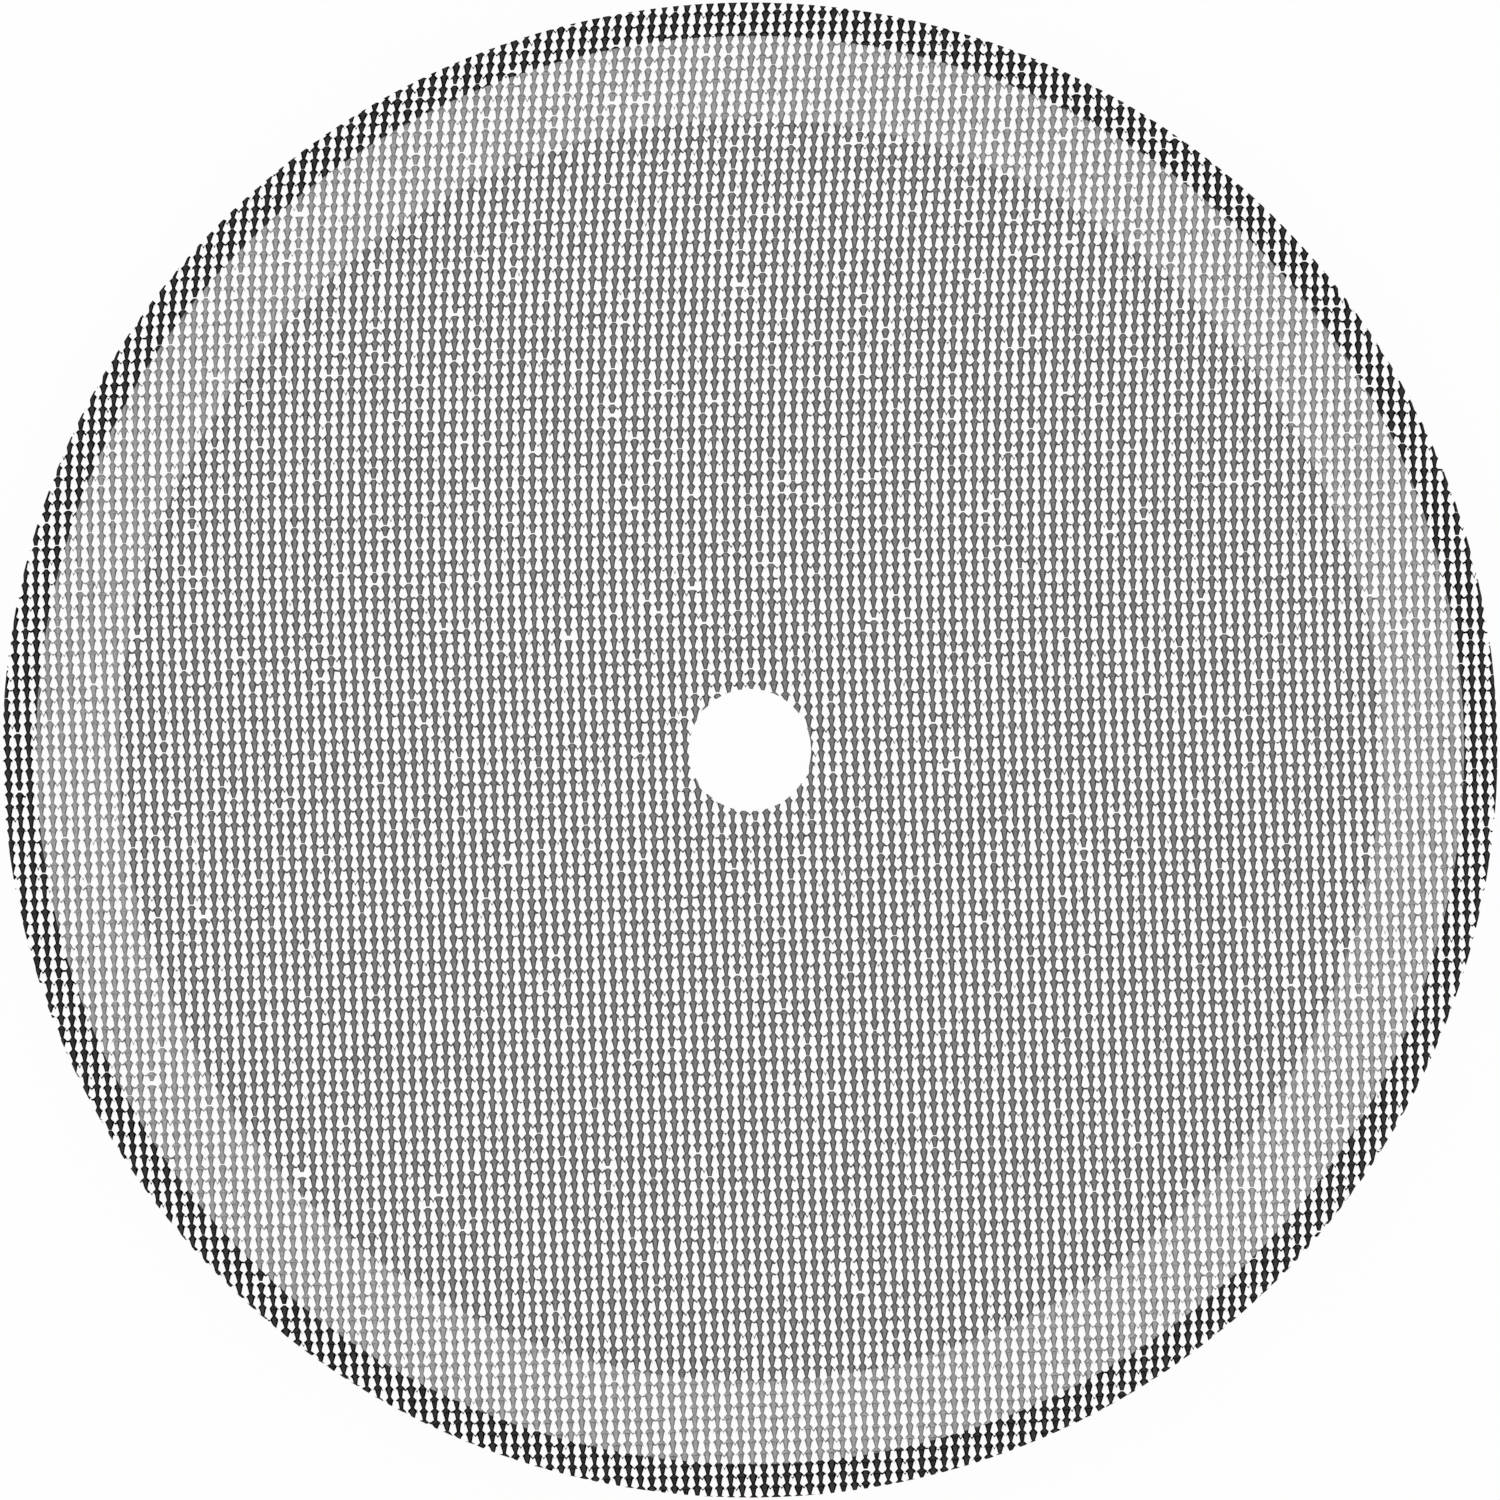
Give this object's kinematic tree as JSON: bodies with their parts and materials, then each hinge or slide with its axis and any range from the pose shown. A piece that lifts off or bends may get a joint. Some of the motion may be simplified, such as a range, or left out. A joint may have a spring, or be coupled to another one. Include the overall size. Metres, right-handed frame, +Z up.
{
  "type": "wire mesh filter disc",
  "caption": "Round filter screen of woven steel wire, formed to a shallow dish with a sloped bevel and a steep lip, with a central bore for a plunger rod.",
  "frame": {"origin": "centre of the bore, on the underside of the flat web", "axes": "+Z up along the bore, out of the dish's open side; +X to the right and +Y to the top of the picture"},
  "size_m": [0.1, 0.1, 0.0039],
  "materials": {
    "wire_cloth": "satin woven wire, lighter on the bevel ring and near black on the lip"
  },
  "bodies": {
    "root": {"mesh_disc": "wire_cloth"}
  },
  "joints": []
}
